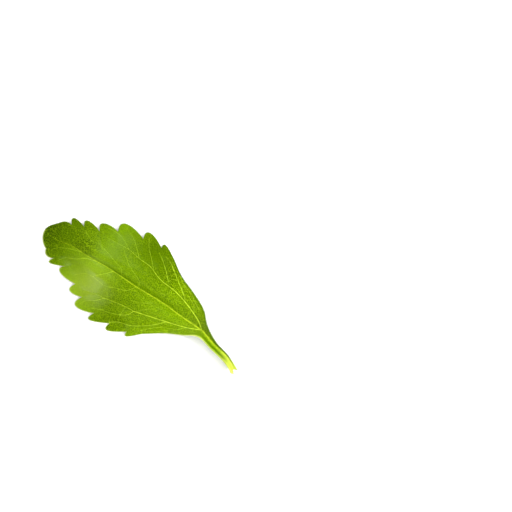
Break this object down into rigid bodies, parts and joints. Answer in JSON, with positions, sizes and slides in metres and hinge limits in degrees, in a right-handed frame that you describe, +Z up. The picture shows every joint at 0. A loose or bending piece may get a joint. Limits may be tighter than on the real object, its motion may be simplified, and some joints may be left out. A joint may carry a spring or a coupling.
{
  "type": "stevia leaf",
  "caption": "Fresh stevia leaf lying face up: arched blade with toothed upper margin, midrib, two side nerves and a channelled, torn stalk.",
  "frame": {"origin": "middle of the leaf's outline as seen from above, on the surface that it lies on", "axes": "+X along the leaf from the torn end of the stalk to the tip, +Y to the leaf's left, +Z up, out of the upper face"},
  "size_m": [0.05, 0.022, 0.0034],
  "materials": {
    "leaf_tissue": "satin"
  },
  "bodies": {
    "root": {"stevia_leaf": "leaf_tissue"}
  },
  "joints": []
}
